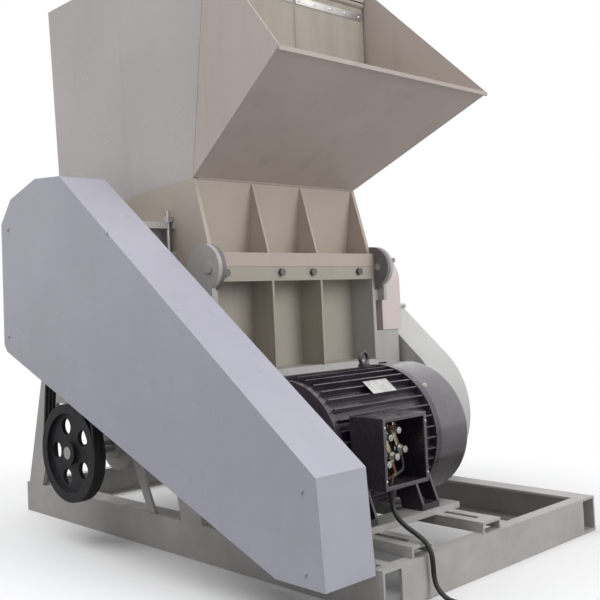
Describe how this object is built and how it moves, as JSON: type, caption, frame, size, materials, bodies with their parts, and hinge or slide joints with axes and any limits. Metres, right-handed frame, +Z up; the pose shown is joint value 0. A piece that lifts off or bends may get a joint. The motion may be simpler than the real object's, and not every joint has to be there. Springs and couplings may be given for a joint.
{
  "type": "plastic granulator",
  "caption": "Heavy floor-standing plastic granulator with a tilting hopper, a curtained feed chute, a belt-driven knife rotor and a discharge blower.",
  "frame": {"origin": "floor, at the centre of the four anchor holes", "axes": "+X along the rotor axis away from the belt guard, -Y towards the feed side, +Z up"},
  "size_m": [2.07, 2.6146, 2.4503],
  "materials": {
    "machine_paint": "satin",
    "chamber_paint": "satin",
    "motor_paint": "gloss",
    "machined_steel": "satin",
    "cast_iron_dark": "matte",
    "rubber_black": "matte",
    "curtain_sheet": "matte",
    "cable_jacket": "matte",
    "plug_plastic": "matte"
  },
  "bodies": {
    "machine": {"side_beams": "machine_paint", "cross_beams": "machine_paint", "stand_sides": "machine_paint", "stand_deck": "machine_paint", "bearing_pedestals": "machine_paint", "chamber_ends": "machine_paint", "chamber_front": "chamber_paint", "chamber_rear": "chamber_paint", "knife_seats": "machined_steel", "bed_knives": "machined_steel", "screen": "machined_steel", "screen_cradle": "chamber_paint", "flange_bolts": "machined_steel", "bearing_housings": "cast_iron_dark", "lower_ears": "machine_paint", "bolt_lugs": "machine_paint", "belt_guard": "machine_paint", "guard_back": "machine_paint", "guard_brackets": "machined_steel", "drive_belts": "rubber_black", "motor_rails": "machine_paint", "motor_frame": "motor_paint", "motor_bells": "motor_paint", "fan_cowl": "motor_paint", "terminal_box": "motor_paint", "cable_gland": "plug_plastic", "right_cover": "machine_paint", "screw_trough": "machine_paint", "blower_housing": "machine_paint", "blower_motor": "motor_paint", "supply_cable": "cable_jacket", "cable_coil": "cable_jacket", "cable_plug": "plug_plastic"},
    "hopper": {"upper_front": "machine_paint", "upper_ends": "machine_paint", "upper_rear": "machine_paint", "upper_ears": "machine_paint", "clamp_shelves": "machine_paint", "hopper_left": "machine_paint", "hopper_right": "machine_paint", "hopper_back": "machine_paint", "hopper_header": "machine_paint", "feed_chute": "machine_paint"},
    "rotor": {"rotor_shaft": "machined_steel", "rotor_discs": "cast_iron_dark", "rotor_knives": "machined_steel", "rotor_pulley": "cast_iron_dark", "screw_drive_pulley": "cast_iron_dark"},
    "motor_rotor": {"motor_shaft": "machined_steel", "motor_pulley": "cast_iron_dark", "cooling_fan": "cast_iron_dark"},
    "discharge_screw": {"screw_shaft": "machined_steel", "screw_pulley": "cast_iron_dark"},
    "blower_rotor": {"blower_wheel": "machined_steel"},
    "left_flap": {"curtain_left": "curtain_sheet"},
    "right_flap": {"curtain_right": "curtain_sheet"},
    "left_front_bolt": {"clamp_bolt_left_front": "machined_steel"},
    "left_rear_bolt": {"clamp_bolt_left_rear": "machined_steel"},
    "right_front_bolt": {"clamp_bolt_right_front": "machined_steel"},
    "right_rear_bolt": {"clamp_bolt_right_rear": "machined_steel"}
  },
  "joints": [
    {"name": "hopper_tilt", "type": "hinge", "parent": "machine", "child": "hopper", "pos_m": [0, -0.185, 1.095], "axis": [1, 0, 0], "range_deg": [0, 60]},
    {"name": "left_flap_swing", "type": "hinge", "parent": "hopper", "child": "left_flap", "pos_m": [0, -0.178, 2.325], "axis": [1, 0, 0], "range_deg": [0, 50]},
    {"name": "right_flap_swing", "type": "hinge", "parent": "hopper", "child": "right_flap", "pos_m": [0, -0.178, 2.325], "axis": [1, 0, 0], "range_deg": [0, 50]},
    {"name": "rotor_spin", "type": "hinge", "parent": "machine", "child": "rotor", "pos_m": [0, 0.345, 1.05], "axis": [1, 0, 0], "continuous": true},
    {"name": "motor_spin", "type": "hinge", "parent": "machine", "child": "motor_rotor", "pos_m": [0, -0.611, 0.442], "axis": [1, 0, 0], "continuous": true},
    {"name": "screw_spin", "type": "hinge", "parent": "machine", "child": "discharge_screw", "pos_m": [0, 0.345, 0.372], "axis": [1, 0, 0], "continuous": true},
    {"name": "blower_spin", "type": "hinge", "parent": "machine", "child": "blower_rotor", "pos_m": [0.8, 0.003, 0.398], "axis": [1, 0, 0], "continuous": true},
    {"name": "left_front_bolt_turn", "type": "hinge", "parent": "hopper", "child": "left_front_bolt", "pos_m": [-0.525, 0.081, 1.3], "axis": [0, 0, 1], "continuous": true},
    {"name": "left_rear_bolt_turn", "type": "hinge", "parent": "hopper", "child": "left_rear_bolt", "pos_m": [-0.525, 0.609, 1.3], "axis": [0, 0, 1], "continuous": true},
    {"name": "right_front_bolt_turn", "type": "hinge", "parent": "hopper", "child": "right_front_bolt", "pos_m": [0.525, 0.081, 1.3], "axis": [0, 0, 1], "continuous": true},
    {"name": "right_rear_bolt_turn", "type": "hinge", "parent": "hopper", "child": "right_rear_bolt", "pos_m": [0.525, 0.609, 1.3], "axis": [0, 0, 1], "continuous": true}
  ],
  "couplings": [
    {"joint": "motor_spin", "follows": "rotor_spin", "ratio": 2.6154},
    {"joint": "screw_spin", "follows": "rotor_spin", "ratio": 0.55556}
  ]
}
